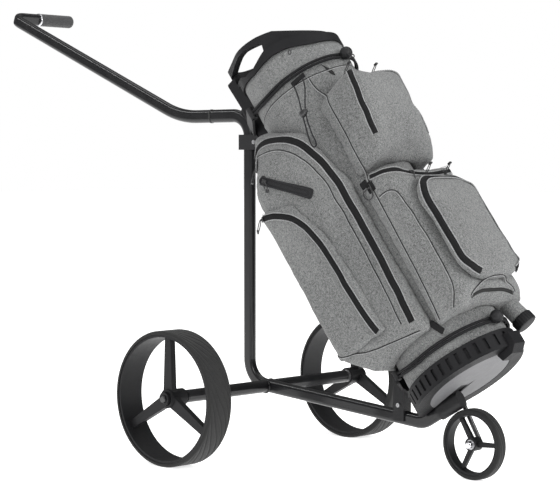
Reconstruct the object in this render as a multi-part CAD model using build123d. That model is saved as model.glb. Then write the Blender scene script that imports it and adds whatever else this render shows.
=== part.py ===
from build123d import *
import os
from math import atan2, cos, radians, sin, tan

os.makedirs("parts", exist_ok=True)

# A three-wheeled golf push cart with a cart bag strapped on it.
# Working frame: X forwards, Y to the left, Z up, origin on the ground under the rear axle.
# The bag is drawn upright in its own frame and leant back at the end. All nodes are then moved
# so that the origin is under the middle of the whole object.

# ---- driving dimensions, mm ----
REAR_R = 145.0                  # rear wheel radius
REAR_WIDTH = 66.0               # rear tyre width
TRACK_OUTER = 657.0             # over the outer faces of the rear tyres
FRONT_R = 73.0
FRONT_WIDTH = 25.0
WHEELBASE = 577.0
TUBE_DEEP = 30.0                # the oval frame tube, in the plane of the bends
TUBE_WIDE = 18.0
TUBE_WALL = 2.0
UPRIGHT_X = -57.0
PLUG_X = -178.0                 # seam where the handle plugs into the frame
PLUG_Z = 752.5
HANDLE_KNEE_X = -280.0
HANDLE_END = (-900.0, 1015.6)
HANDLE_REACH = 195.0            # how far the grip's end stands out to the left
AXLE_TUBE_R = 14.0
RUN = 0.05                      # radial clearance of a running fit

BAG_LEAN = 37.0                 # degrees back from the vertical
BAG_FOOT = (566.5, 200.5)       # X and Z of the middle of the bag's underside
BAG_A = 126.0                   # half depth of the bag's oval body
BAG_B = 106.0                   # half width
BAG_WALL = 5.0
FLOOR = 15.0                    # top of the base's floor
BASE_HIGH = 40.0
UPPER_STRAP = 746.0             # heights of the two straps up the bag
LOWER_STRAP = 66.0
GAP = 0.3                       # clearance between neighbouring curved faces

nodes = {}
bag_nodes = {}


# ---- shapes used by several sub-parts ----
def oval(a, b, share=0.76):
    """A face with four tangent arcs, half length a along X and half width b along Y."""
    end_r = b * share * b / a
    c = a - end_r
    side_r = (c * c + b * b - end_r * end_r) / (2.0 * (b - end_r))
    d = side_r - b
    reach = side_r - end_r
    tx = c + end_r * c / reach
    ty = end_r * d / reach
    arcs = (
        ThreePointArc((tx, -ty), (a, 0), (tx, ty))
        + ThreePointArc((tx, ty), (0, b), (-tx, ty))
        + ThreePointArc((-tx, ty), (-a, 0), (-tx, -ty))
        + ThreePointArc((-tx, -ty), (0, -b), (tx, -ty))
    )
    return make_face(arcs)


def upright_oval(a, b, z0, z1, x=0.0):
    return Pos(x, 0, z0) * extrude(oval(a, b), z1 - z0)


def side_profile(points, y0, y1, radii=0.0):
    """A closed outline given as (x, z) points, extruded from y0 to y1."""
    outline = Polyline(*[(x, z) for x, z in points], close=True)
    face = make_face(outline)
    if radii:
        face = fillet(face.vertices(), radii)
    solid = extrude(face, y1 - y0)
    # The sketch's Y is turned up to Z; the extrusion then runs along -Y.
    return Pos(0, y1, 0) * Rot(90, 0, 0) * solid


def tube_along(points, radii, section, start):
    path = FilletPolyline(*points, radius=radii)
    return sweep(start * section, path=path)


def disc(r, y0, y1, x=0.0, z=0.0):
    return Pos(x, y1, z) * Rot(90, 0, 0) * extrude(Circle(r), y1 - y0)


def ring(r_out, r_in, y0, y1, x=0.0, z=0.0):
    return disc(r_out, y0, y1, x, z) - disc(r_in, y0 - 1, y1 + 1, x, z)


def group(shapes):
    """One node of several separate solids."""
    return Compound([solid for shape in shapes for solid in shape.solids()])


def bag_node(name, shape):
    bag_nodes[name] = shape


# ---- main frame: one bent oval tube from the handle seam to the front wheel ----
FRONT_BEND = (445.0, 105.6)
FRONT_RISE = 30.0               # degrees that the front end climbs
FRONT_TUBE_END = 70.0           # length of tube past the bend
frame_end = (
    FRONT_BEND[0] + FRONT_TUBE_END * cos(radians(FRONT_RISE)),
    FRONT_BEND[1] + FRONT_TUBE_END * sin(radians(FRONT_RISE)),
)
frame_points = [
    (PLUG_X, 0, PLUG_Z),
    (UPRIGHT_X, 0, PLUG_Z),
    (UPRIGHT_X, 0, 151.0),
    (FRONT_BEND[0], 0, FRONT_BEND[1]),
    (frame_end[0], 0, frame_end[1]),
]
frame_start = Plane(origin=(PLUG_X, 0, PLUG_Z), x_dir=(0, 0, 1), z_dir=(1, 0, 0))
outer_section = SlotOverall(TUBE_DEEP, TUBE_WIDE)
bore_section = SlotOverall(TUBE_DEEP - 2 * TUBE_WALL, TUBE_WIDE - 2 * TUBE_WALL)
frame_radii = [50.0, 57.0, 45.0]
frame_tube = tube_along(frame_points, frame_radii, outer_section, frame_start)
frame_tube -= tube_along(frame_points, frame_radii, bore_section, frame_start)
axle_hole = disc(AXLE_TUBE_R, -30, 30, 0, REAR_R)
nodes["main_frame_tube"] = frame_tube - axle_hole

# ---- rear axle: a round cross tube welded through the frame tube, with a steel stub each side ----
WHEEL_INNER = TRACK_OUTER / 2 - REAR_WIDTH
AXLE_TUBE_END = WHEEL_INNER - 2.0
STUB_R = 6.0
STUB_IN = 200.0
STUB_OUT = 312.0
axle_tube = disc(AXLE_TUBE_R, -AXLE_TUBE_END, AXLE_TUBE_END, 0, REAR_R)
axle_tube -= disc(AXLE_TUBE_R - 2, -AXLE_TUBE_END - 1, AXLE_TUBE_END + 1, 0, REAR_R)
collar = ring(AXLE_TUBE_R - 2, STUB_R, STUB_IN, AXLE_TUBE_END, 0, REAR_R)
axle_tube += collar + mirror(collar, about=Plane.XZ)
nodes["rear_axle_tube"] = axle_tube
stub = disc(STUB_R, STUB_IN, STUB_OUT, 0, REAR_R)
nodes["axle_stubs"] = group([stub, mirror(stub, about=Plane.XZ)])

# ---- rear wheels: spoked drum rim, tyre band, two bearings and a sprung release button ----
TYRE_THICK = 8.0
RIM_R = REAR_R - TYRE_THICK
RIM_WALL = 5.5
HUB_R = 19.0
HUB_OUT = TRACK_OUTER / 2 - 6.0
BEARING_R = 14.0
BEARING_WIDE = 9.0
BUTTON_R = 8.0
BUTTON_TRAVEL = 3.0
SPOKE_Y = (297.0, 311.0)


def spoke(root_r, tip_r, root_half, tip_half, y0, y1, angle, z):
    blade = Polyline(
        (-root_half, root_r),
        (root_half, root_r),
        (tip_half, tip_r),
        (-tip_half, tip_r),
        close=True,
    )
    solid = extrude(make_face(blade), y1 - y0)
    return Pos(0, y1, z) * Rot(90, 0, 0) * Rot(0, 0, angle) * solid


def rear_rim():
    tyre_out = TRACK_OUTER / 2
    rim = ring(RIM_R - 0.2, RIM_R - RIM_WALL, WHEEL_INNER + 2, tyre_out - 2, 0, REAR_R)
    # A stepped hub: slim outside, wider inside where the bearings sit.
    rim += disc(HUB_R, WHEEL_INNER + 6, SPOKE_Y[1] + 4, 0, REAR_R)
    rim += disc(HUB_R - 5, SPOKE_Y[1] + 4, HUB_OUT, 0, REAR_R)
    for angle in (0, 120, 240):
        rim += spoke(HUB_R - 6, RIM_R - 3, 13.0, 8.0, *SPOKE_Y, angle, REAR_R)
    for y0 in (WHEEL_INNER + 6, SPOKE_Y[1] - BEARING_WIDE):
        rim -= disc(BEARING_R, y0, y0 + BEARING_WIDE, 0, REAR_R)
    rim -= disc(STUB_R + 1.5, WHEEL_INNER, STUB_OUT + BUTTON_TRAVEL + 1, 0, REAR_R)
    rim -= disc(BUTTON_R + RUN, SPOKE_Y[1], HUB_OUT + 1, 0, REAR_R)
    return rim


def rear_tyre():
    tyre_out = TRACK_OUTER / 2
    band = ring(REAR_R, RIM_R, WHEEL_INNER, tyre_out, 0, REAR_R)
    shoulders = band.edges().filter_by(GeomType.CIRCLE).sort_by(SortBy.RADIUS)[-2:]
    return fillet(shoulders, 5.0)


def bearing(y0, bore_r, outer_r, wide, x, z):
    return ring(outer_r, bore_r + RUN, y0, y0 + wide, x, z)


def release_button():
    y0 = STUB_OUT + BUTTON_TRAVEL + 0.5
    cap = disc(BUTTON_R, y0, TRACK_OUTER / 2 - 1, 0, REAR_R)
    rim_edge = cap.edges().filter_by(GeomType.CIRCLE).sort_by(Axis.Y)[-1]
    return fillet(rim_edge, 3.0)


left_wheel = {
    "rear_rim": rear_rim(),
    "rear_tyre": rear_tyre(),
    "wheel_bearings": group(
        [
            bearing(WHEEL_INNER + 6, STUB_R, BEARING_R, BEARING_WIDE, 0, REAR_R),
            bearing(SPOKE_Y[1] - BEARING_WIDE, STUB_R, BEARING_R, BEARING_WIDE, 0, REAR_R),
        ]
    ),
    "hub_button": release_button(),
}
for name, shape in left_wheel.items():
    nodes["left_" + name] = shape
    nodes["right_" + name] = mirror(shape, about=Plane.XZ)

# ---- handle: plug spigot, bent oval shaft and a rubber grip turned out to the left ----
SPIGOT_OUT = 60.0               # length that enters the frame tube
SPIGOT_IN = 35.0                # length held in the handle shaft
handle_points = [
    (PLUG_X, 0, PLUG_Z),
    (HANDLE_KNEE_X, 0, PLUG_Z),
    (HANDLE_END[0], 0, HANDLE_END[1]),
    (HANDLE_END[0], HANDLE_REACH - 6, HANDLE_END[1]),
]
handle_start = Plane(origin=(PLUG_X, 0, PLUG_Z), x_dir=(0, 0, 1), z_dir=(-1, 0, 0))
handle_radii = [260.0, 34.0]
handle_shaft = tube_along(handle_points, handle_radii, outer_section, handle_start)
handle_shaft -= tube_along(handle_points, handle_radii, bore_section, handle_start)
nodes["handle_shaft"] = handle_shaft
spigot_section = SlotOverall(TUBE_DEEP - 2 * TUBE_WALL - 0.1, TUBE_WIDE - 2 * TUBE_WALL - 0.1)
spigot_plane = Plane(origin=(PLUG_X - SPIGOT_IN, 0, PLUG_Z), x_dir=(0, 0, 1), z_dir=(1, 0, 0))
nodes["handle_spigot"] = extrude(spigot_plane * spigot_section, SPIGOT_IN + SPIGOT_OUT)
GRIP_R = 16.0
GRIP_LONG = 107.0
# The grip's bore follows the shaft's section, whose long axis leans by the climb of the handle.
grip = disc(GRIP_R, HANDLE_REACH - GRIP_LONG, HANDLE_REACH, HANDLE_END[0], HANDLE_END[1])
grip_end = grip.edges().filter_by(GeomType.CIRCLE).sort_by(Axis.Y)[-1]
grip = fillet(grip_end, 7.0)
climb = atan2(HANDLE_END[1] - PLUG_Z, HANDLE_KNEE_X - HANDLE_END[0])
grip_core = Plane(
    origin=(HANDLE_END[0], HANDLE_REACH - 5.9, HANDLE_END[1]),
    x_dir=(sin(climb), 0, cos(climb)),
    z_dir=(0, -1, 0),
)
nodes["handle_grip"] = grip - extrude(grip_core * SlotOverall(TUBE_DEEP + 0.2, TUBE_WIDE + 0.2), 200)

# ---- front wheel: clamp holder on the tube's end, bent single-sided rod, small spoked wheel ----
HOLDER_LONG = 62.0
HOLDER_FROM = 52.0              # distance past the bend where the holder starts
ROD_R = 5.0
ROD_Y = 23.0
front_dir = (cos(radians(FRONT_RISE)), 0, sin(radians(FRONT_RISE)))


def on_front_tube(distance):
    return (FRONT_BEND[0] + distance * front_dir[0], 0, FRONT_BEND[1] + distance * front_dir[2])


holder_plane = Plane(
    origin=on_front_tube(HOLDER_FROM), x_dir=(-front_dir[2], 0, front_dir[0]), z_dir=front_dir
)
holder = extrude(holder_plane * SlotOverall(TUBE_DEEP + 7, TUBE_WIDE + 7), HOLDER_LONG)
socket_depth = FRONT_TUBE_END - HOLDER_FROM + 1
socket = extrude(
    holder_plane * SlotOverall(TUBE_DEEP + 2 * RUN, TUBE_WIDE + 2 * RUN), socket_depth
)
inner_rod_plane = Plane(
    origin=on_front_tube(HOLDER_FROM - 34), x_dir=(-front_dir[2], 0, front_dir[0]), z_dir=front_dir
)
front_spigot = extrude(
    inner_rod_plane
    * SlotOverall(TUBE_DEEP - 2 * TUBE_WALL - 0.1, TUBE_WIDE - 2 * TUBE_WALL - 0.1),
    34 + socket_depth + 4,
)
rod_top = on_front_tube(HOLDER_FROM + HOLDER_LONG - 17)
rod_points = [
    (rod_top[0], 0, rod_top[2]),
    (rod_top[0], ROD_Y, rod_top[2]),
    (WHEELBASE, ROD_Y, FRONT_R),
    (WHEELBASE, -FRONT_WIDTH / 2 - 4, FRONT_R),
]
rod_start = Plane(origin=rod_points[0], z_dir=(0, 1, 0))
rod = tube_along(rod_points, [11.0, 10.0], Circle(ROD_R), rod_start)
rod_hole = disc(ROD_R + RUN, -1, 60, rod_top[0], rod_top[2])
nodes["front_wheel_holder"] = (holder - socket - rod_hole) + front_spigot
nodes["front_fork_rod"] = rod

FRONT_RIM_R = 64.0
FRONT_BEARING_R = 10.0


def front_rim():
    half = FRONT_WIDTH / 2
    rim = ring(FRONT_RIM_R - 0.2, FRONT_RIM_R - 5, -half + 1.5, half - 1.5, WHEELBASE, FRONT_R)
    rim += disc(14, -half, half, WHEELBASE, FRONT_R)
    for angle in (2, 122, 242):
        blade = spoke(9, FRONT_RIM_R - 3, 5.5, 4.0, -4, 4, angle - 90, FRONT_R)
        rim += Pos(WHEELBASE, 0, 0) * blade
    rim -= disc(FRONT_BEARING_R, -half - 1, -half + 6, WHEELBASE, FRONT_R)
    rim -= disc(FRONT_BEARING_R, half - 6, half + 1, WHEELBASE, FRONT_R)
    rim -= disc(ROD_R + 1.5, -half, half, WHEELBASE, FRONT_R)
    return rim


front_tyre = ring(FRONT_R, FRONT_RIM_R, -FRONT_WIDTH / 2, FRONT_WIDTH / 2, WHEELBASE, FRONT_R)
front_edges = front_tyre.edges().filter_by(GeomType.CIRCLE).sort_by(SortBy.RADIUS)[-2:]
nodes["front_rim"] = front_rim()
nodes["front_tyre"] = fillet(front_edges, 5.0)
nodes["front_bearings"] = group(
    [
        bearing(-FRONT_WIDTH / 2, ROD_R, FRONT_BEARING_R, 6, WHEELBASE, FRONT_R),
        bearing(FRONT_WIDTH / 2 - 6, ROD_R, FRONT_BEARING_R, 6, WHEELBASE, FRONT_R),
    ]
)
nut = disc(8.0, -FRONT_WIDTH / 2 - 11, -FRONT_WIDTH / 2 - 0.6, WHEELBASE, FRONT_R)
nut_edge = nut.edges().filter_by(GeomType.CIRCLE).sort_by(Axis.Y)[0]
nut = fillet(nut_edge, 4.0)
nodes["front_axle_nut"] = nut - disc(
    ROD_R, -FRONT_WIDTH / 2 - 4, -FRONT_WIDTH / 2, WHEELBASE, FRONT_R
)

# ---- bag body: four sewn panels round an oval tube, open inside for the clubs ----
# Side view of the ring's lower and upper edge: it dips at the sides, under the hand grip.
RING_LOW = [(150, 787), (108, 795), (72, 810), (40, 815), (-22, 812), (-70, 822), (-150, 838)]
RING_HIGH = [
    (150, 808),
    (114, 817),
    (80, 833),
    (40, 836),
    (-22, 823),
    (-66, 834),
    (-92, 852),
    (-170, 873),
]


def between(low, high):
    return side_profile(low + high[::-1], -200, 200)


shell = upright_oval(BAG_A, BAG_B, FLOOR + GAP, 900)
shell -= upright_oval(BAG_A - BAG_WALL, BAG_B - BAG_WALL, 0, 910)
shell &= between([(150, 0), (-150, 0)], RING_LOW)
FRONT_SEAM = 80.0
SPINE_SEAM = -88.0
tall = 1000
bag_node("bag_front_panel", shell & Pos(FRONT_SEAM + 100, 0, 400) * Box(200, 400, tall))
bag_node("bag_spine_panel", shell & Pos(SPINE_SEAM - 100, 0, 400) * Box(200, 400, tall))
side_mid = (FRONT_SEAM + SPINE_SEAM) / 2
side_long = FRONT_SEAM - SPINE_SEAM
bag_node("bag_left_panel", shell & Pos(side_mid, 150, 400) * Box(side_long, 300, tall))
bag_node("bag_right_panel", shell & Pos(side_mid, -150, 400) * Box(side_long, 300, tall))

# Two full-length dividers hang from the ribs of the top.
DIVIDER_X = 36.0
DIVIDER_HALF = 94.0
sheets = [
    Pos(x, 0, 403) * Box(2.4, 2 * DIVIDER_HALF, 774) for x in (-DIVIDER_X, DIVIDER_X)
]
bag_node("full_length_dividers", group(sheets))

# ---- moulded top: ring round the mouth, raised rim that becomes the carrying handle, ribs ----
ring_body = upright_oval(BAG_A + 5, BAG_B + 4, 760, 900) - upright_oval(112, 94, 750, 910)
ring_body &= between(RING_LOW, RING_HIGH)
bag_node("top_ring", ring_body)

# The raised rim is egg-shaped in plan: it narrows to the handle at the back.
EGG_BACK = -112.0
EGG_BACK_R = 40.0
RIM_THICK = 14.0
RIM_TOP = [(150, 829), (112, 832), (86, 850), (58, 870), (24, 880), (-60, 898), (-170, 926)]


def egg(inset, z0, z1):
    front = oval(111 - inset, 101 - inset)
    back = Pos(EGG_BACK, 0) * Circle(EGG_BACK_R - inset)
    outline = make_hull(front.edges() + back.edges())
    return Pos(0, 0, z0) * extrude(outline, z1 - z0)


rim_low = [(x, z + GAP) for x, z in RING_HIGH]
rim_band = (egg(0, 780, 970) - egg(RIM_THICK, 770, 980)) & between(rim_low, RIM_TOP)
WINDOW_INNER = 24.0
window_low = [(24, 842), (-22, 829), (-66, 842), (-92, 862), (-180, 884)]
window_high = [(28, 860), (-24, 879), (-88, 893), (-180, 906)]
window = between(window_low, window_high)
window -= Pos(-100, 0, 850) * Box(160, 2 * WINDOW_INNER, 300)
bag_node("top_handle_rim", rim_band - window)

rib_space = between([(x, z + 2) for x, z in RING_LOW], [(x, z - 2) for x, z in RING_HIGH])
mouth = upright_oval(111.7, 93.7, 750, 900)
cross_ribs = []
for x in (-DIVIDER_X, DIVIDER_X):
    cross_ribs.append(Pos(x, 0, 820) * Box(5, 220, 120) & rib_space & mouth)
long_ribs = []
for y in (-30, 30):
    for x0, x1 in ((-120, -38.8), (-33.2, 33.2), (38.8, 120)):
        rib = Pos((x0 + x1) / 2, y, 820) * Box(x1 - x0, 4, 120)
        long_ribs.append(rib & rib_space & mouth)
bag_node("divider_ribs", group(cross_ribs + long_ribs))

# The spine plate runs down the back from the handle and rests on the cart's upper cradle.
PLATE_BACK = -151.0
PLATE_TOP = 893.0
PLATE_FOOT = 700.0
plate_face = make_face(
    Polyline((-40, PLATE_TOP), (40, PLATE_TOP), (24, PLATE_FOOT), (-24, PLATE_FOOT), close=True)
)
plate = Pos(PLATE_BACK, 0, 0) * extrude(Plane.YZ * fillet(plate_face.vertices(), 10.0), 40)
plate -= upright_oval(BAG_A + GAP, BAG_B + GAP, 600, 1000)
plate -= ring_body
plate -= rim_band
bag_node("spine_plate", plate.solids().sort_by(Axis.X)[0])

# ---- moulded base: ribbed cup, lighter underside plate and two feet ----
BASE_A = 138.0
BASE_B = 113.0
base = upright_oval(BASE_A, BASE_B, 0, BASE_HIGH)
base -= upright_oval(BAG_A + GAP, BAG_B + GAP, FLOOR, BASE_HIGH + 1)
rib_band = upright_oval(BASE_A + 1, BASE_B + 1, 8, BASE_HIGH - 7)
rib_band -= upright_oval(BASE_A - 4, BASE_B - 4, 0, BASE_HIGH)
for step in range(36):
    groove = Rot(0, 0, step * 10 + 5) * Pos(120, 0, 20) * Box(70, 7, 60)
    base -= groove & rib_band
tube_notch = side_profile([(-150, -2), (10, -2), (10, 0), (-20, 3), (-92, 10.5), (-150, 18)], -15, 15)
under_recess = upright_oval(104, 84, -1, 3.0)
base -= under_recess
base -= tube_notch
bag_node("base_moulding", base)
under_plate = upright_oval(103, 83, 0.6, 2.9) - tube_notch
bag_node("base_underside_plate", under_plate)
foot_side = [(100, -1), (106, -17), (134, -17), (151, -4), (151, 24), (128, 27), (128, -1)]
foot = side_profile(foot_side, -18, 18) - upright_oval(BASE_A + GAP, BASE_B + GAP, -1, 60)
bag_node("base_foot", foot - upright_oval(BASE_A + GAP, BASE_B + GAP, -0.7, 60))

# ---- pockets: simple closed solids of the sewn pockets' outer shape ----
body_cut = upright_oval(BAG_A + GAP, BAG_B + GAP, 0, 1000)


def prism_y(points, y0, y1, radii=0.0):
    return side_profile(points, y0, y1, radii)


def prism_z(points, z0, z1, radii):
    """An outline given as (x, y) points, extruded upwards."""
    face = make_face(Polyline(*points, close=True))
    return Pos(0, 0, z0) * extrude(fillet(face.vertices(), radii), z1 - z0)


def prism_x(points, x0, x1, radii):
    """An outline given as (y, z) points, extruded forwards."""
    face = make_face(Polyline(*points, close=True))
    turned = Plane.YZ * fillet(face.vertices(), radii)
    return Pos(x0, 0, 0) * extrude(turned, x1 - x0)


# Full-height side pocket: deepest at its back corner, sloping in towards the front and the top.
apparel_side = prism_y(
    [(-112, 96), (-150, 160), (-150, 540), (-104, 706), (-60, 690), (24, 624), (62, 470), (62, 96)],
    -200,
    -20,
    16.0,
)
apparel_plan = prism_z([(62, -40), (62, -118), (-152, -167), (-152, -40)], 90, 710, 24.0)
apparel_front = prism_x(
    [(-20, 96), (-118, 96), (-166, 165), (-169, 528), (-157, 578), (-112, 706), (-20, 706)],
    -200,
    100,
    10.0,
)
apparel = (apparel_side & apparel_plan & apparel_front) - body_cut
lower_side = prism_y(
    [(-152, 142), (-152, 536), (-66, 506), (-26, 400), (-8, 142)], -200, -60, 20.0
)
lower_plan = prism_z([(-8, -100), (-18, -150), (-154, -177), (-154, -100)], 100, 600, 22.0)
lower = (lower_side & lower_plan) - apparel_plan - body_cut
bag_node("right_apparel_pocket", apparel)
bag_node("left_apparel_pocket", mirror(apparel, about=Plane.XZ))
bag_node("right_lower_pocket", lower)
bag_node("left_lower_pocket", mirror(lower, about=Plane.XZ))

# Front pockets: a domed one above, a large one below with a panel pocket sewn on its face.
UPPER_TOP = 682.0
UPPER_HALF = 94.0
DOME_R = 50.0
upper_side = prism_y(
    [(66, 458), (66, UPPER_TOP), (170, UPPER_TOP), (186, 640), (181, 560), (162, 500), (138, 458)],
    -100,
    100,
    14.0,
)
upper_plan = prism_z([(40, -94), (186, -94), (186, 94), (40, 94)], 440, 700, 44.0)
upper_front = prism_x([(-94, 400), (-94, UPPER_TOP), (94, UPPER_TOP), (94, 400)], 0, 200, DOME_R)
bag_node("front_upper_pocket", (upper_side & upper_plan & upper_front) - body_cut)

POCKET_FOOT = 94.0
LOWER_FACE = 168.0
lower_side_view = [
    (66, POCKET_FOOT),
    (66, 452),
    (104, 452),
    (160, 428),
    (LOWER_FACE, 396),
    (LOWER_FACE, 128),
    (138, POCKET_FOOT),
]
main_plan = prism_z([(40, -103), (LOWER_FACE, -103), (LOWER_FACE, 103), (40, 103)], 60, 500, 34.0)
lower_front = prism_y(lower_side_view, -110, 110, 6.0) & main_plan
bag_node("front_lower_pocket", lower_front - body_cut)

PANEL_TOP = 386.0
PANEL_HALF = 92.0
PANEL_R = 60.0
panel_view = [
    (LOWER_FACE + GAP, 128),
    (LOWER_FACE + GAP, PANEL_TOP),
    (190, PANEL_TOP - 2),
    (200, 340),
    (202, 160),
    (194, 130),
]
panel_plan = prism_z([(60, -92), (202, -92), (202, 92), (60, 92)], 100, 400, 26.0)
panel_front = prism_x(
    [(-PANEL_HALF, 128), (-PANEL_HALF, PANEL_TOP), (PANEL_HALF, PANEL_TOP), (PANEL_HALF, 128)],
    0,
    300,
    PANEL_R,
)
panel = prism_y(panel_view, -110, 110, 4.0) & panel_plan & panel_front
bag_node("front_panel_pocket", panel)

# Zip sliders that run round the top corners of the two front pockets.
SLIDER_GAP = 0.6


def corner_slider(x, corner_y, corner_z, radius):
    """A slider and its pull, where the top edge of a pocket starts to curve down."""
    top = corner_z + radius + SLIDER_GAP
    return Pos(x, corner_y, top + 2.5) * Box(9, 12, 5) + Pos(x, corner_y, top + 5.5) * Box(6, 26, 2)


UPPER_SLIDER_X = 140.0
PANEL_SLIDER_X = 180.0
upper_slider = corner_slider(UPPER_SLIDER_X, -UPPER_HALF + DOME_R, UPPER_TOP - DOME_R, DOME_R)
panel_slider = corner_slider(PANEL_SLIDER_X, -PANEL_HALF + PANEL_R, PANEL_TOP - PANEL_R, PANEL_R)
bag_node("right_upper_zip_slider", upper_slider)
bag_node("left_upper_zip_slider", mirror(upper_slider, about=Plane.XZ))
bag_node("right_panel_zip_slider", panel_slider)
bag_node("left_panel_zip_slider", mirror(panel_slider, about=Plane.XZ))

# Chest zip: a padded black garage set slantwise on each side pocket, with a slider along it.
CHEST_FROM = Vector(-108.0, -148.0, 590.0)
CHEST_TO = Vector(-24.0, -134.0, 494.0)
CHEST_PROUD = 9.0
chest_run = CHEST_TO - CHEST_FROM
chest_plane = Plane(
    origin=CHEST_FROM, x_dir=chest_run, z_dir=chest_run.cross(Vector(0.62, 0.1, 0.78))
)
garage_face = Pos(chest_run.length / 2, 0) * RectangleRounded(chest_run.length + 14, 25, 11)
garage = Pos(0, 0, -16) * extrude(garage_face, 16 + CHEST_PROUD)
garage = chest_plane * garage
bag_node("right_chest_zip", garage - apparel - body_cut)
bag_node("left_chest_zip", mirror(garage - apparel - body_cut, about=Plane.XZ))
chest_slider = chest_plane * (
    Pos(10, 0, CHEST_PROUD + GAP + 2) * Box(12, 9, 4)
    + Pos(22, 0, CHEST_PROUD + GAP + 2.8) * Box(24, 6, 2)
)
bag_node("right_chest_slider", chest_slider)
bag_node("left_chest_slider", mirror(chest_slider, about=Plane.XZ))

# D-ring on a webbing tab, on the right side only.
D_AT = (84.0, -103.0, 428.0)
tab = Pos(D_AT[0], D_AT[1] - 1.8, D_AT[2] + 9) * Box(17, 3, 15)
d_face = RectangleRounded(26, 24, 11) - RectangleRounded(20.5, 18.5, 8.4)
d_ring = Pos(D_AT[0], D_AT[1] - 3.4, D_AT[2] - 13.2) * Rot(90, 0, 0) * extrude(d_face, 2.6)
bag_node("d_ring", d_ring)

# Towel cord: a limp loop sewn under a webbing tab, gathered by a cord lock.
CORD_D = 3.0
cord_tab = Pos(68, -101.6, 727) * Rot(0, 0, 12) * Box(36, 4, 9)
bag_node("webbing_tabs", group([tab, cord_tab - body_cut]))
cord_route = [
    (54, -106.5, 722),
    (54, -108.5, 704),
    (51, -113, 680),
    (49, -121, 654),
    (47, -127, 630),
    (42.5, -131, 605),
    (39.5, -133, 588),
    (38.5, -133.6, 577),
    (39.5, -134, 570),
    (43, -134.2, 565.5),
    (48, -134.2, 565.5),
    (51.5, -134, 570),
    (52.5, -133.6, 577),
    (52, -132.6, 589),
    (53, -130, 609),
    (54, -124, 633),
    (58, -117, 657),
    (69, -110, 682),
    (79, -104, 704),
    (81, -102.5, 722),
]
UMBRELLA_R = 21.0
umbrella_axis = Plane(origin=(132.0, 88.0, 44.0), z_dir=(-0.2, -0.14, 1.0))
umbrella = umbrella_axis * Pos(0, 0, 22) * extrude(Circle(UMBRELLA_R), 60)
below_pocket = Pos(0, 0, POCKET_FOOT - 1 - 200) * Box(800, 800, 400)
umbrella = (umbrella - body_cut) & below_pocket
bag_node("umbrella_tube", umbrella)
cap = umbrella_axis * extrude(Circle(UMBRELLA_R + 2.5), 21.7)
bag_node("umbrella_tube_cap", cap)

# ---- elastic straps: two cords round the bag, through a ball in front, from hook to hook ----
CORD_R = 3.0
STRAP_A = BAG_A + 5.0
STRAP_B = BAG_B + 5.0
STRAND = 3.7                    # each strand's height above and below the strap's middle
BALL_R = 14.0
STEP = 30                       # degrees between the corners of the route


def strap_route(hook, z, lift):
    """Corners of a polygon round the oval, from the right hook to the left one."""
    grow = 1.0 / cos(radians(STEP / 2))
    corners = [(hook[0], -hook[1], hook[2] + lift)]
    for angle in range(-105, 106, STEP):
        at = radians(angle)
        corners.append((STRAP_A * grow * cos(at), STRAP_B * grow * sin(at), z + lift))
    corners.append((hook[0], hook[1], hook[2] + lift))
    return corners


def corner_radii(corners):
    radii = []
    for before, at, after in zip(corners, corners[1:], corners[2:]):
        run_in = Vector(*at) - Vector(*before)
        run_out = Vector(*after) - Vector(*at)
        half_turn = radians(run_in.get_angle(run_out)) / 2
        radii.append(0.45 * min(run_in.length, run_out.length) / tan(half_turn))
    return radii


def strap(hook, z):
    strands = []
    for lift in (-STRAND, STRAND):
        corners = strap_route(hook, z, lift)
        first = Vector(*corners[1]) - Vector(*corners[0])
        start = Plane(origin=corners[0], z_dir=first)
        strands.append(tube_along(corners, corner_radii(corners), Circle(CORD_R), start))
    return group(strands)


cord_radii = corner_radii(cord_route)
print("towel cord radii", [round(r, 1) for r in cord_radii])
cord_start = Plane(origin=cord_route[0], z_dir=Vector(*cord_route[1]) - Vector(*cord_route[0]))
towel_cord = tube_along(cord_route, cord_radii, Circle(CORD_D / 2), cord_start)
bag_node("towel_cord", towel_cord)
lock = Pos(52.5, -123.5, 648) * Rot(12, 0, 0) * Box(20, 11, 13)
bag_node("cord_lock", lock - towel_cord)

UPPER_HOOK = (-100.0, 74.0, 768.0)
LOWER_HOOK = (-98.0, 76.0, 84.0)
upper_strap = strap(UPPER_HOOK, UPPER_STRAP)
lower_strap = strap(LOWER_HOOK, LOWER_STRAP)
bag_node("upper_strap_cord", upper_strap)
bag_node("lower_strap_cord", lower_strap)
upper_ball = Pos(BAG_A + BALL_R + 1, 0, UPPER_STRAP) * Sphere(BALL_R)
lower_ball = Pos(BAG_A + BALL_R + 1, -10, LOWER_STRAP) * Sphere(BALL_R)
bag_node("strap_balls", group([upper_ball - upper_strap, lower_ball - lower_strap]))

# ---- brackets: padded cradles clamped on the upright and on the front tube ----
CRADLE_THICK = 5.0
CRADLE_BACK = PLATE_BACK - 2.0 - CRADLE_THICK
LOWER_CRADLE_BACK = -BAG_A - 4.0 - CRADLE_THICK
lean = radians(BAG_LEAN)
bag_place = Plane(
    origin=(BAG_FOOT[0], 0, BAG_FOOT[1]),
    x_dir=(cos(lean), 0, sin(lean)),
    z_dir=(-sin(lean), 0, cos(lean)),
).location


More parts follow.
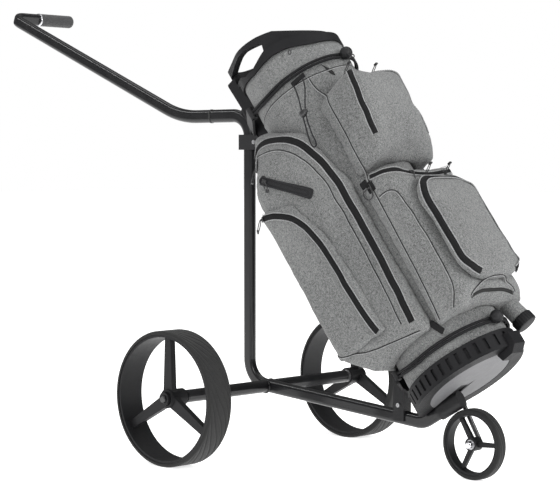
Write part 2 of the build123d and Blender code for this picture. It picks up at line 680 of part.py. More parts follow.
def cradle(back, half, z0, arm_high, panel_z, panel_wide, panel_high, hook, cord):
    """A flat panel with two arms that reach round the bag to the ends of a strap."""
    inner = back + CRADLE_THICK
    tip_x = hook[0] - 6
    tip_y = hook[1] + 8
    plan = [(back, half), (tip_x, tip_y), (tip_x + 4, tip_y - 4), (inner, half - 3)]
    outline = [(x, -y) for x, y in plan[::-1]] + plan
    shape = Pos(0, 0, z0) * extrude(make_face(Polyline(*outline, close=True)), arm_high)
    panel = Plane.YZ * Pos(0, panel_z) * RectangleRounded(panel_wide, panel_high, 10)
    shape += Pos(back, 0, 0) * extrude(panel, CRADLE_THICK)
    bead = Pos(hook[0] - 1, hook[1] + 2, hook[2]) * Cylinder(7, arm_high - 4)
    shape += bead + mirror(bead, about=Plane.XZ)
    return shape - cord


def in_front_of(x):
    """Everything forward of a plane across the bag, to trim a clamp at its cradle."""
    return (Pos(x + 200, 0, 400) * Box(400, 400, 1200)).moved(bag_place)


def at_bag(shape):
    return group([shape]).moved(bag_place)


clear_section = SlotOverall(TUBE_DEEP + 0.4, TUBE_WIDE + 0.4)
tube_space = tube_along(frame_points, frame_radii, clear_section, frame_start)
upper_cradle = cradle(CRADLE_BACK, 34, 752, 32, 784, 62, 88, UPPER_HOOK, upper_strap)
CLAMP_WIDE = 29.0
CLAMP_Z = 692.0
upper_clamp = Pos(-30, 0, CLAMP_Z) * Box(96, CLAMP_WIDE, 34) - tube_space
upper_clamp -= in_front_of(CRADLE_BACK + 1)
nodes["upper_bracket"] = at_bag(upper_cradle) + upper_clamp.solids().sort_by(SortBy.VOLUME)[-1]

# The lower cradle stands on a post clamped over the front tube.
POST_X = 388.0
POST_LONG = 28.0
lower_cradle = cradle(LOWER_CRADLE_BACK, 40, 68, 24, 92, 70, 62, LOWER_HOOK, lower_strap)
post = Pos(POST_X, 0, 156) * Box(POST_LONG, CLAMP_WIDE - 4, 104) - tube_space
post -= in_front_of(LOWER_CRADLE_BACK + 1)
nodes["lower_bracket"] = at_bag(lower_cradle) + post.solids().sort_by(SortBy.VOLUME)[-1]

upper_pad = Pos(PLATE_BACK - 1, 0, 784) * Box(1.6, 50, 74)
lower_pad = Pos(-BAG_A - 2.2, 0, 92) * Box(3.2, 30, 50)
nodes["cradle_pads"] = at_bag(group([upper_pad, lower_pad]))


def screw_head(half, x, z):
    return disc(4.5, half, half + 2.8, x, z) - disc(2.0, half + 1.2, half + 4, x, z)


heads = [screw_head(CLAMP_WIDE / 2, -30, CLAMP_Z), screw_head(CLAMP_WIDE / 2 - 2, POST_X, 137)]
nodes["bracket_screws"] = group(heads + [mirror(head, about=Plane.XZ) for head in heads])

# ---- place everything and write one STEP per node ----
for name, shape in bag_nodes.items():
    nodes[name] = at_bag(shape)

low_x = min(shape.bounding_box().min.X for shape in nodes.values())
high_x = max(shape.bounding_box().max.X for shape in nodes.values())
middle_x = (low_x + high_x) / 2
print("middle of the length is", round(middle_x, 3), "mm in front of the rear axle")
for name, shape in nodes.items():
    export_step(group([shape]).moved(Pos(-middle_x, 0, 0)), "parts/" + name + ".step")
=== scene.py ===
from math import cos, pi, radians, sin, sqrt

import bmesh
import bpy
from mathutils import Matrix, Vector, noise
from mathutils.bvhtree import BVHTree


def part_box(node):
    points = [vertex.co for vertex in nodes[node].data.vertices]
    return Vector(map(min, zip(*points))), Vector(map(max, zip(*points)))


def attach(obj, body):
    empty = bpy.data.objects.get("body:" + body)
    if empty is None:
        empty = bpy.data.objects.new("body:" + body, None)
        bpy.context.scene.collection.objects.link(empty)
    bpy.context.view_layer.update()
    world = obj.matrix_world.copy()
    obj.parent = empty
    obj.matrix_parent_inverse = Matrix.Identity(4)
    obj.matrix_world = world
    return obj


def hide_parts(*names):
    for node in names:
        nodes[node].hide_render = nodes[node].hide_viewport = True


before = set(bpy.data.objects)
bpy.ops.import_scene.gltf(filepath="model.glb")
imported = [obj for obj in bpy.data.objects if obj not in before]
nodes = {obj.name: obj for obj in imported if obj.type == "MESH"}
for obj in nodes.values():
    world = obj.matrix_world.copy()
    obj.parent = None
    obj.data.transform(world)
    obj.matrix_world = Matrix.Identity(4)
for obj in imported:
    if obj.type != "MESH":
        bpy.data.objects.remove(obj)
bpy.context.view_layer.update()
scene = bpy.context.scene

# ---- Frame tube, axle tube and handle shaft ----
# Bent aluminium tube in a thick glossy black powder coat, welded where the axle crosses it.
# The coat has a faint orange peel and fine handling marks that only change its gloss.


def plug(socket, value):
    """Wires a value into a socket, or sets the socket's own number or colour."""
    if isinstance(value, Wire):
        socket.node.id_data.links.new(socket, value.socket)
    elif isinstance(value, tuple) and len(socket.default_value) == 4:
        socket.default_value = (*value, 1.0)
    else:
        socket.default_value = value


class Wire:
    """An output socket of a material. Arithmetic on it adds Math nodes."""

    def __init__(self, socket):
        self.socket = socket

    def math(self, operation, first, second):
        step = self.socket.node.id_data.nodes.new("ShaderNodeMath")
        step.operation = operation
        plug(step.inputs[0], first)
        plug(step.inputs[1], second)
        return Wire(step.outputs[0])

    def __add__(self, other):
        return self.math("ADD", self, other)

    def __radd__(self, other):
        return self.math("ADD", other, self)

    def __sub__(self, other):
        return self.math("SUBTRACT", self, other)

    def __rsub__(self, other):
        return self.math("SUBTRACT", other, self)

    def __mul__(self, other):
        return self.math("MULTIPLY", self, other)

    def __rmul__(self, other):
        return self.math("MULTIPLY", other, self)


BAG_LEAN = radians(37)


class Finish:
    """One material. Steady values go on the shader's sockets, and what changes is wired."""

    def __init__(self, name, **steady):
        self.material = bpy.data.materials.new(name)
        self.material.use_nodes = True
        self.tree = self.material.node_tree
        self.shader = self.tree.nodes["Principled BSDF"]
        for word, value in steady.items():
            self.set(word.replace("_", " ").title().replace("Ior", "IOR"), value)

    def set(self, socket, value):
        plug(self.shader.inputs[socket], value)

    def node(self, kind, inputs, output=0, stops=(), **settings):
        made = self.tree.nodes.new("ShaderNode" + kind)
        for word, value in settings.items():
            setattr(made, word, value)
        for index, (place, shade) in enumerate(stops):
            ramp = made.color_ramp.elements
            stop = ramp[index] if index < 2 else ramp.new(place)
            stop.position = place
            stop.color = (*shade, 1.0) if isinstance(shade, tuple) else (shade, shade, shade, 1.0)
        for word, value in inputs.items():
            plug(made.inputs[word], value)
        return Wire(made.outputs[output])

    def place(self, stretch=(1.0, 1.0, 1.0)):
        """The point on the piece, turned so that its Z runs up the leaning bag."""
        point = self.node("TexCoord", {}, output=3)
        scale = tuple(1 / value for value in stretch)
        turned = {"Vector": point, "Rotation": (0.0, -BAG_LEAN, 0.0), "Scale": scale}
        return self.node("Mapping", turned, vector_type="TEXTURE")

    def mottle(self, scale, stretch=(1.0, 1.0, 1.0), detail=2.0):
        inputs = {"Vector": self.place(stretch), "Scale": scale, "Detail": detail}
        return self.node("TexNoise", inputs)

    def blend(self, factor, dark, light):
        return self.node("Mix", {0: factor, 6: dark, 7: light}, output=2, data_type="RGBA")

    def relief(self, height, distance, strength=1.0):
        inputs = {"Height": height, "Distance": distance, "Strength": strength}
        self.set("Normal", self.node("Bump", inputs))


def dress(finish, *names, edge=0.0):
    """Gives CAD nodes their finish, and rounds their sharp edges by a little."""
    for name in names:
        part = nodes[name]
        part.data.materials.clear()
        part.data.materials.append(finish.material)
        if edge:
            rounding = part.modifiers.new("rounded edges", "BEVEL")
            rounding.width = edge
            rounding.segments = 2
            rounding.limit_method = "ANGLE"
            rounding.angle_limit = radians(38)


gloss_black = Finish("gloss black powder coat", coat_weight=0.3, coat_roughness=0.1)
gloss_black.set("Specular IOR Level", 0.3)
marks = gloss_black.mottle(60.0, (1.0, 1.0, 0.25), 5.0)
gloss_black.set("Base Color", gloss_black.blend(marks, (0.004, 0.004, 0.005),
    (0.010, 0.010, 0.011)))
gloss_black.set("Roughness", 0.24 + 0.16 * marks)
gloss_black.relief(gloss_black.mottle(900.0), 0.0002, 0.25)
dress(gloss_black, "main_frame_tube", "rear_axle_tube", "handle_shaft")

# ---- Weld beads ----
# Two rings of weld where the round axle tube passes through the flat sides of the frame tube.
# Each is a rippled fillet, laid by hand and coated with the tube.


def sweep(points, ups, section, closed=False):
    """Vertices and faces of a section, given as (side, up) offsets, carried along points."""
    vertices, faces = [], []
    count, size = len(points), len(section)
    for index, (point, up) in enumerate(zip(points, ups)):
        before = points[index - 1] if closed else points[max(index - 1, 0)]
        after = points[(index + 1) % count] if closed else points[min(index + 1, count - 1)]
        along = (after - before).normalized()
        side = along.cross(up).normalized()
        top = side.cross(along)
        vertices += [point + side * across + top * high for across, high in section]
    for ring in range(count if closed else count - 1):
        here, there = ring * size, (ring + 1) % count * size
        for corner in range(size):
            other = (corner + 1) % size
            faces.append((here + corner, there + corner, there + other, here + other))
    if not closed:
        faces.append(tuple(range(size)))
        faces.append(tuple(range(count * size - 1, (count - 1) * size - 1, -1)))
    return vertices, faces


def make(name, shape, finish, body="cart", smooth=True):
    """A piece from vertices and faces, with its finish, riding on a body."""
    mesh = bpy.data.meshes.new(name)
    mesh.from_pydata([tuple(v) for v in shape[0]], [], shape[1])
    mesh.validate()
    mesh.polygons.foreach_set("use_smooth", [smooth] * len(mesh.polygons))
    mesh.materials.append(finish.material)
    piece = bpy.data.objects.new(name, mesh)
    scene.collection.objects.link(piece)
    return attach(piece, body)


def join(shapes):
    vertices, faces = [], []
    for more_vertices, more_faces in shapes:
        start = len(vertices)
        vertices += more_vertices
        faces += [tuple(start + corner for corner in face) for face in more_faces]
    return vertices, faces


def circle(radius, count=8):
    return [(radius * cos(2 * pi * k / count),
        radius * sin(2 * pi * k / count)) for k in range(count)]


low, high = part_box("rear_axle_tube")
axle = (low + high) / 2
axle_r = (high.z - low.z) / 2
beads = []
for y in (-0.0100, 0.0100):
    ring, ups = [], []
    for step in range(60):
        turn = 2 * pi * step / 60
        ring.append(Vector((axle.x + axle_r * cos(turn), y, axle.z + axle_r * sin(turn))))
        ups.append(Vector((cos(turn), 0, sin(turn))))
    bead, faces = sweep(ring, ups, circle(0.0026), closed=True)
    ripple = [1 + 0.09 * sin(k // 8 * 2.2) for k in range(len(bead))]
    bead = [ring[k // 8] + (v - ring[k // 8]) * ripple[k] for k, v in enumerate(bead)]
    beads.append((bead, faces))
make("axle_weld_beads", join(beads), gloss_black)

# ---- Handle seam and grip ----
# The handle shaft plugs into the frame tube at a butt seam with a thin plastic collar.
# The grip is a slid-on sleeve of dark foam rubber, ribbed for the hand, behind a bright ring.
low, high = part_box("handle_shaft")
seam_x = high.x
low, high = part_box("main_frame_tube")
seam_z = high.z - 0.015
seam_loop, ups = [], []
for step in range(48):
    turn = 2 * pi * step / 48
    straight = 0.006 if sin(turn) > 0 else -0.006
    seam_loop.append(Vector((seam_x, 0.0094 * cos(turn), seam_z + straight + 0.0094 * sin(turn))))
    ups.append(Vector((0, cos(turn), sin(turn))))
collar_section = [(-0.0022, -0.001), (-0.0022, 0.0005), (0.0022, 0.0005), (0.0022, -0.001)]
collar_black = Finish("satin black collar", roughness=0.45)
collar_black.set("Base Color", collar_black.blend(collar_black.mottle(400.0), (0.01, 0.01, 0.01),
    (0.03, 0.03, 0.03)))
make("handle_seam_collar", sweep(seam_loop, ups, collar_section, closed=True), collar_black,
    "handle")

low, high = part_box("handle_grip")
grip_middle = (low + high) / 2
grip_r = (high.z - low.z) / 2
grip_long = high.y - low.y


def lathe(profile, centre, count=64):
    """A body turned about Y: profile holds (radius, y) steps."""
    vertices, faces = [], []
    for radius, y in profile:
        for step in range(count):
            turn = 2 * pi * step / count
            vertices.append(Vector((centre[0] + radius * cos(turn), y,
                centre[1] + radius * sin(turn))))
    for row in range(len(profile) - 1):
        for step in range(count):
            here, there = row * count + step, row * count + (step + 1) % count
            faces.append((here, here + count, there + count, there))
    return vertices, faces


grip_profile = [(grip_r * 0.72, low.y - 0.0002)]
grip_steps = 150
for step in range(grip_steps + 1):
    share = step / grip_steps
    rib = 0.00035 * (1 + cos(share * 2 * pi * 38))
    past_end = max(0.0, share * grip_long - (grip_long - 0.007))
    start_round = max(0.0, 0.0015 - share * grip_long)
    round_end = 0.007 - sqrt(max(0.0, 0.007 ** 2 - past_end ** 2))
    grip_profile.append((grip_r - rib - round_end - start_round, low.y + share * grip_long))
grip_profile.append((0.0005, high.y))
foam = Finish("dark foam rubber", roughness=0.82, sheen_weight=0.25)
foam.set("Base Color", foam.blend(foam.mottle(500.0), (0.018, 0.018, 0.019), (0.045, 0.045, 0.047)))
foam.relief(foam.mottle(1800.0), 0.0004, 0.7)
centre = (grip_middle.x, grip_middle.z)
grip = make("ribbed_handle_grip", lathe(grip_profile, centre), foam, "handle")
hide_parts("handle_grip")
ring_profile = [(grip_r * 0.7, low.y - 0.003), (grip_r + 0.0004, low.y - 0.003)]
ring_profile += [(grip_r + 0.0004, low.y - 0.0003), (grip_r * 0.7, low.y - 0.0003)]
ring_metal = Finish("bright grip ring", metallic=1.0)
ring_metal.set("Roughness", 0.22 + 0.2 * ring_metal.mottle(500.0))
ring_metal.set("Base Color", (0.62, 0.62, 0.64))
make("grip_end_ring", lathe(ring_profile, centre), ring_metal, "handle")

# ---- Rear wheels ----
# A deep drum rim moulded with three tapering spokes in satin nylon, a bonded rubber tyre with
# long swooping tread grooves, a pair of steel bearings, and a domed release button outside.
satin_nylon = Finish("satin black nylon")
satin_nylon.set("Specular IOR Level", 0.2)
grain = satin_nylon.mottle(700.0)
satin_nylon.set("Base Color", satin_nylon.blend(grain, (0.008, 0.008, 0.009),
    (0.017, 0.017, 0.018)))
satin_nylon.set("Roughness", 0.36 + 0.18 * satin_nylon.mottle(90.0, detail=5.0))
satin_nylon.relief(grain, 0.0002, 0.3)
dress(satin_nylon, "left_rear_rim", "right_rear_rim", "front_rim", edge=0.0012)

tread_rubber = Finish("tyre rubber", sheen_weight=0.1)
tread_rubber.set("Specular IOR Level", 0.18)
dust = tread_rubber.mottle(35.0, detail=6.0)
tread_rubber.set("Base Color", tread_rubber.blend(dust, (0.009, 0.009, 0.010),
    (0.022, 0.022, 0.021)))
tread_rubber.set("Roughness", 0.5 + 0.3 * dust)
tread_rubber.relief(tread_rubber.mottle(1400.0), 0.0003, 0.4)


def tyre(name, node, body, swoops, swing, grooves, deep):
    """A tyre band with rounded shoulders whose tread grooves are cut as swooping strokes."""
    lower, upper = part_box(node)
    middle = (lower + upper) / 2
    radius, half = (upper.z - lower.z) / 2, (upper.y - lower.y) / 2
    inner = radius - (0.008 if radius > 0.1 else 0.009)
    round_r, around, across = 0.005, 720 if radius > 0.1 else 420, 44
    rows = [(inner + 0.0002, -half + 0.0006), (radius - round_r, -half)]
    for step in range(across + 1):
        rows.append((radius, (2 * step / across - 1) * (half - 0.0012)))
    rows += [(radius - round_r, half), (inner + 0.0002, half - 0.0006)]
    vertices, faces = [], []
    for reach, y in rows:
        past = max(0.0, abs(y) - (half - round_r))
        shoulder = round_r - sqrt(max(0.0, round_r ** 2 - past ** 2))
        on_tread = reach == radius and abs(y) < half - 0.004
        for step in range(around):
            turn = 2 * pi * step / around
            side = y / half
            cut = 0.0
            if on_tread:
                stroke = swoops * (turn + swing * side * side * (1 if side > 0 else -1))
                wave = grooves * (stroke / (2 * pi) % 1.0) + 1.6 * side
                edge_fade = min(1.0, (1 - abs(side)) * 6)
                cut = deep * max(0.0, cos(2 * pi * wave) - 0.55) / 0.45 * edge_fade
            there = reach - cut - (shoulder if reach == radius else 0.0)
            vertices.append(Vector((middle.x + there * cos(turn), middle.y + y,
                middle.z + there * sin(turn))))
    for row in range(len(rows) - 1):
        for step in range(around):
            here, there = row * around + step, row * around + (step + 1) % around
            faces.append((here, there, there + around, here + around))
    band = make(name, (vertices, faces), tread_rubber, body)
    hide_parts(node)
    return band


for side in ("left", "right"):
    tyre(side + "_treaded_tyre", side + "_rear_tyre", side + "_wheel", 9, 0.30, 3, 0.0013)
bearing_steel = Finish("bearing steel", metallic=1.0)
bearing_steel.set("Base Color", (0.5, 0.5, 0.51))
bearing_steel.set("Roughness", 0.25 + 0.25 * bearing_steel.mottle(300.0, (1.0, 0.1, 1.0)))
dress(bearing_steel, "left_wheel_bearings", "right_wheel_bearings", "front_bearings", "axle_stubs")
dress(bearing_steel, "handle_spigot", "bracket_screws", edge=0.0004)
button_black = Finish("glossy black button", coat_weight=0.6, coat_roughness=0.08)
button_black.set("Base Color", (0.012, 0.012, 0.013))
button_black.set("Roughness", 0.3 + 0.15 * button_black.mottle(200.0))
dress(button_black, "left_hub_button", "right_hub_button")
for side, sign in (("left", 1), ("right", -1)):
    lower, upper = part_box(side + "_rear_rim")
    face_y = sign * (max(abs(lower.y), abs(upper.y)) - 0.0135)
    lips = [(0.0205, face_y - sign * 0.004), (0.0205, face_y), (0.0165, face_y + sign * 0.0025)]
    lips += [(0.0145, face_y + sign * 0.0025), (0.0145, face_y - sign * 0.004)]
    hub_centre = ((lower.x + upper.x) / 2, (lower.z + upper.z) / 2)
    make(side + "_hub_lip", lathe(lips, hub_centre, 48), satin_nylon, side + "_wheel")

# ---- Front wheel, its rod and holder ----
# A small three-spoked wheel on a bent steel rod that hangs from a moulded holder. The holder
# slides over the tube's end, and a polished dome nut keeps the wheel on.
tyre("front_treaded_tyre", "front_tyre", "front_wheel", 6, 0.2, 2, 0.0007)
rod_steel = Finish("black lacquered rod", coat_weight=0.4, coat_roughness=0.15)
rod_steel.set("Base Color", (0.012, 0.012, 0.013))
rod_steel.set("Roughness", 0.3 + 0.2 * rod_steel.mottle(150.0))
dress(rod_steel, "front_fork_rod")
bright = Finish("bright zinc", metallic=1.0)
bright.set("Base Color", (0.72, 0.72, 0.74))
bright.set("Roughness", 0.16 + 0.2 * bright.mottle(220.0))
dress(bright, "front_axle_nut")
moulded_black = Finish("moulded black plastic")
moulded_black.set("Specular IOR Level", 0.3)
speckle = moulded_black.mottle(1100.0)
moulded_black.set("Base Color", moulded_black.blend(speckle, (0.007, 0.007, 0.008),
    (0.018, 0.018, 0.019)))
moulded_black.set("Roughness", 0.42 + 0.2 * moulded_black.mottle(60.0, detail=4.0))
moulded_black.relief(speckle, 0.0003, 0.5)
dress(moulded_black, "front_wheel_holder", "upper_bracket", "lower_bracket", edge=0.0012)
pad_rubber = Finish("pad rubber")
pad_rubber.set("Specular IOR Level", 0.18)
pad_rubber.set("Base Color", (0.014, 0.014, 0.014))
pad_rubber.set("Roughness", 0.7 + 0.2 * pad_rubber.mottle(500.0))
dress(pad_rubber, "cradle_pads", edge=0.0006)

# ---- Bag body ----
# Four woven polyester panels sewn into an oval tube over a stiff liner. The cloth is a heather
# grey, warp and weft of mixed light and dark yarn, and it dents a little between its seams.
BAG_FOOT = (0.679749, 0.0, 0.2005)
bag_to_frame = Matrix.Translation(BAG_FOOT) @ Matrix.Rotation(-BAG_LEAN, 4, "Y")
frame_to_bag = bag_to_frame.inverted()
MM = 0.001


def bag(x, y, z):
    """A point given in millimetres in the bag's own frame, z up the bag."""
    return bag_to_frame @ Vector((x * MM, y * MM, z * MM))


def bag_way(x, y, z):
    return (bag_to_frame.to_3x3() @ Vector((x, y, z))).normalized()


def heather(name, dark, light, contrast):
    """Woven cloth of mixed yarns: streaks along the warp and the weft, over a fine weave."""
    cloth = Finish(name, sheen_weight=0.08, sheen_roughness=0.5)
    warp = cloth.mottle(850.0, (1.0, 1.0, 0.22), 2.0)
    weft = cloth.mottle(850.0, (0.3, 0.3, 1.0), 2.0)
    faded = cloth.mottle(9.0, (1.0, 1.0, 0.5), 3.0)
    yarn = warp * 0.45 + weft * 0.55
    fleck = 0.5 + contrast * (yarn - 0.5) + 0.45 * (faded - 0.5)
    cloth.set("Base Color", cloth.blend(fleck, dark, light))
    cloth.set("Roughness", 0.82 + 0.12 * yarn)
    cloth.relief(cloth.mottle(1300.0, (1.0, 1.0, 0.7), 1.0) + yarn, 0.0007, 0.55)
    return cloth


grey_cloth = heather("heather grey cloth", (0.026, 0.026, 0.027), (0.245, 0.25, 0.247), 2.8)
shade_cloth = heather("dark grey cloth", (0.014, 0.014, 0.015), (0.10, 0.10, 0.104), 2.2)


def oval_reach(a, b, turn):
    """Distance from the middle to the bag's oval of four tangent arcs, a deep and b wide."""
    end_r = 0.76 * b * b / a
    offset = a - end_r
    side_r = (offset ** 2 + b ** 2 - end_r ** 2) / (2 * (b - end_r))
    below = side_r - b
    meet_x = offset + end_r * offset / (side_r - end_r)
    meet_y = end_r * below / (side_r - end_r)
    along, across = abs(cos(turn)), abs(sin(turn))
    if across * meet_x < meet_y * along:
        return offset * along + sqrt(end_r ** 2 - (offset * across) ** 2)
    return sqrt(side_r ** 2 - (below * along) ** 2) - below * across


def height_at(profile, x):
    """Height of a side-view profile of (x, z) points, x falling, at one x."""
    for (x0, z0), (x1, z1) in zip(profile, profile[1:]):
        if x0 >= x >= x1:
            return z0 + (z1 - z0) * (x0 - x) / (x0 - x1)
    return profile[0][1] if x > profile[0][0] else profile[-1][1]


RING_LOW = [(150, 787), (108, 795), (72, 810), (40, 815), (-22, 812), (-70, 822), (-150, 838)]
AROUND, UP = 120, 74
vertices, faces = [], []
levels = [16 + (k / UP) * 784 for k in range(UP + 1)]
for wall, inset in (("outer", 0.0), ("lining", 4.6)):
    order = levels if wall == "outer" else levels[::-1]
    for level in order:
        for step in range(AROUND):
            turn = 2 * pi * step / AROUND
            reach = oval_reach(126 - inset, 106 - inset, turn)
            x, y = reach * cos(turn), reach * sin(turn)
            top = height_at(RING_LOW, x)
            z = 16 + (level - 16) / 784 * (top - 16)
            loose = min(1.0, (z - 16) / 60, (top - z) / 40 + 0.15) if wall == "outer" else 0.0
            soft = noise.noise(Vector((x * 0.017, y * 0.017, z * 0.011))) * 2.6
            soft += noise.noise(Vector((x * 0.05, y * 0.05, z * 0.02 + 7))) * 1.0
            puff = 1 + loose * soft / reach
            vertices.append(bag(x * puff, y * puff, z))
rows = 2 * (UP + 1)
for row in range(rows - 1):
    for step in range(AROUND):
        here, there = row * AROUND + step, row * AROUND + (step + 1) % AROUND
        faces.append((here, there, there + AROUND, here + AROUND))
bag_skin = make("bag_body_cloth", (vertices, faces), grey_cloth)
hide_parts("bag_front_panel", "bag_spine_panel", "bag_left_panel", "bag_right_panel")

# ---- Sewn pockets ----
# Each pocket is cut from the same cloth over a thin foam, closed by a long zip. They are
# stuffed a little, so their faces swell and their edges stay round.


def baked(piece):
    """Applies every modifier of a piece to its mesh."""
    bpy.context.view_layer.update()
    view = piece.evaluated_get(bpy.context.evaluated_depsgraph_get())
    made = bpy.data.meshes.new_from_object(view)
    piece.modifiers.clear()
    piece.data = made


CHEST_FROM, CHEST_TO = Vector((-108.0, -148.0, 590.0)), Vector((-24.0, -134.0, 494.0))


# Millimetres from a slider's way: the cloth is sewn down within one, and free beyond the other.
HELD_WITHIN, FREE_BEYOND = 14, 40
slider_ways = []
for turn in range(0, 91, 15):
    across, high = sin(radians(turn)), cos(radians(turn))
    slider_ways.append(Vector((140.0, -44.0 - 50.0 * across, 632.0 + 50.0 * high)))
    slider_ways.append(Vector((180.0, -32.0 - 60.0 * across, 326.0 + 60.0 * high)))


def free_of_zip(point):
    """0 where a slider runs, for the cloth is sewn down there, rising to 1 four centimetres off."""
    place = frame_to_bag @ point * 1000
    place.y = -abs(place.y)
    run = CHEST_TO - CHEST_FROM
    share = max(0.0, min(1.0, (place - CHEST_FROM).dot(run) / run.length_squared))
    from_chest = (place - CHEST_FROM - run * share).length
    near = min([from_chest] + [(place - way).length for way in slider_ways])
    return max(0.0, min(1.0, (near - HELD_WITHIN) / (FREE_BEYOND - HELD_WITHIN)))


def pocket(name, node, swell, finish=grey_cloth):
    """A padded form grown from the pocket's plain shape, never more than swell beyond it."""
    form = bpy.data.objects.new(name, nodes[node].data.copy())
    scene.collection.objects.link(form)
    grid = form.modifiers.new("even grid", "REMESH")
    grid.mode = "VOXEL"
    grid.voxel_size = 0.006
    baked(form)
    normals = [v.normal.copy() for v in form.data.vertices]
    for vertex, normal in zip(form.data.vertices, normals):
        vertex.co -= normal * 0.0015
    start = [v.co.copy() for v in form.data.vertices]
    cloth = form.modifiers.new("stuffing", "CLOTH")
    cloth.settings.use_pressure = True
    cloth.settings.uniform_pressure_force = 4.0
    cloth.settings.effector_weights.gravity = 0.0
    cloth.settings.quality = 4
    for moment in range(1, 17):
        scene.frame_set(moment)
    baked(form)
    scene.frame_set(1)
    for vertex, first in zip(form.data.vertices, start):
        away = vertex.co - first
        most = swell * free_of_zip(first)
        if away.length > most:
            vertex.co = first + away.normalized() * most
    even = form.modifiers.new("even", "SMOOTH")
    even.factor = 0.5
    even.iterations = 5
    finer = form.modifiers.new("finer", "SUBSURF")
    finer.levels = 1
    baked(form)
    normals = [v.normal.copy() for v in form.data.vertices]
    for vertex, normal in zip(form.data.vertices, normals):
        place = frame_to_bag @ vertex.co * 1000
        crease = noise.noise(Vector((place.x * 0.022, place.y * 0.022, place.z * 0.009 + 3)))
        crease += 0.4 * noise.noise(Vector((place.x * 0.07, place.y * 0.07, place.z * 0.03)))
        vertex.co += normal * crease * 0.0020 * free_of_zip(vertex.co)
    form.data.polygons.foreach_set("use_smooth", [True] * len(form.data.polygons))
    form.data.materials.clear()
    form.data.materials.append(finish.material)
    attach(form, "cart")
    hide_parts(node)
    return form


def mirrored(piece, name, node):
    """The left twin of a right-hand pocket."""
    twin = bpy.data.objects.new(name, piece.data.copy())
    scene.collection.objects.link(twin)
    twin.data.transform(Matrix.Scale(-1, 4, (0, 1, 0)))
    twin.data.flip_normals()
    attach(twin, "cart")
    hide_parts(node)
    return twin


apparel = pocket("right_apparel_pocket_cloth", "right_apparel_pocket", 0.004)
side_low = pocket("right_lower_pocket_cloth", "right_lower_pocket", 0.005)
upper_front = pocket("front_upper_pocket_cloth", "front_upper_pocket", 0.005)
lower_front = pocket("front_lower_pocket_cloth", "front_lower_pocket", 0.004)
panel_front = pocket("front_panel_pocket_cloth", "front_panel_pocket", 0.004)
mirrored(apparel, "left_apparel_pocket_cloth", "left_apparel_pocket")
mirrored(side_low, "left_lower_pocket_cloth", "left_lower_pocket")

# ---- Piping, seams and stitches ----
# Where panels meet, the cloth turns over a thin cord as piping, with a row of thread beside it.
# All of it is laid on the finished cloth, along lines marked on the bag. Flat black strips
# at the flap pocket's mouth and at the collar's two slits are painted shade of those openings.
cloth_pieces = [bag_skin, apparel, side_low, upper_front, lower_front, panel_front]
cloth_pieces += [bpy.data.objects["left_apparel_pocket_cloth"],
    bpy.data.objects["left_lower_pocket_cloth"]]
bpy.context.view_layer.update()
depsgraph = bpy.context.evaluated_depsgraph_get()
skins = [BVHTree.FromObject(piece, depsgraph) for piece in cloth_pieces]


def flowing(marks, step=4.0):
    """Evenly spaced points of a smooth curve through marks, in the bag's millimetres."""
    marks = [Vector(mark) for mark in marks]
    ends = [marks[0] * 2 - marks[1]] + marks + [marks[-1] * 2 - marks[-2]]
    dense = []
    for a, b, c, d in zip(ends, ends[1:], ends[2:], ends[3:]):
        for part in range(24):
            t = part / 24
            bend = (2 * b) + (c - a) * t + (2 * a - 5 * b + 4 * c - d) * t * t
            dense.append((bend + (3 * b - a - 3 * c + d) * t ** 3) / 2)
    dense.append(marks[-1])
    points, run = [dense[0]], 0.0
    for before, after in zip(dense, dense[1:]):
        run += (after - before).length
        if run >= step:
            points.append(after)
            run = 0.0
    return points


def on_cloth(marks, step=4.0):
    """The marked line laid on the cloth: its points and the cloth's outward directions."""
    marks = flowing(marks, step)
    points = [bag(*mark) for mark in marks]
    outs = [bag_way(mark.x, mark.y, 0.0) for mark in marks]
    last = len(points) - 1
    near = [(max(k - 1, 0), k, min(k + 1, last)) for k in range(last + 1)]
    for passes in (8, 2):
        ups = []
        for k, out in enumerate(outs):
            hits = [skin.find_nearest(points[k] + out * 0.007) for skin in skins]
            place, up, _, _ = min(hits, key=lambda hit: hit[3])
            points[k] = place
            ups.append(up if up.dot(out) > -0.3 else -up)
        for _ in range(passes):
            ups = [(ups[a] + ups[k] + ups[b]).normalized() for a, k, b in near]
            middles = [points[k] * 0.5 + (points[a] + points[b]) * 0.25 for a, k, b in near]
            points = [points[0]] + middles[1:-1] + [points[-1]]
    return points, ups


def beside(line, distance, lift=0.0):
    """The same line moved sideways by a distance, and up off the cloth."""
    points, ups = line
    moved = []
    for k, (point, up) in enumerate(zip(points, ups)):
        along = points[min(k + 1, len(points) - 1)] - points[max(k - 1, 0)]
        moved.append(point + along.cross(up).normalized() * distance + up * lift)
    return moved, ups


def flipped(marks):
    return [(x, -y, z) for x, y, z in marks]


def threads(line):
    """Single stitches along a line, one between each two points."""
    points, ups = line
    shapes = []
    for start, stop, up in zip(points, points[1:], ups):
        ends = [start.lerp(stop, 0.1), start.lerp(stop, 0.78)]
        shapes.append(sweep(ends, [up, up], circle(0.00045, 5)))
    return shapes
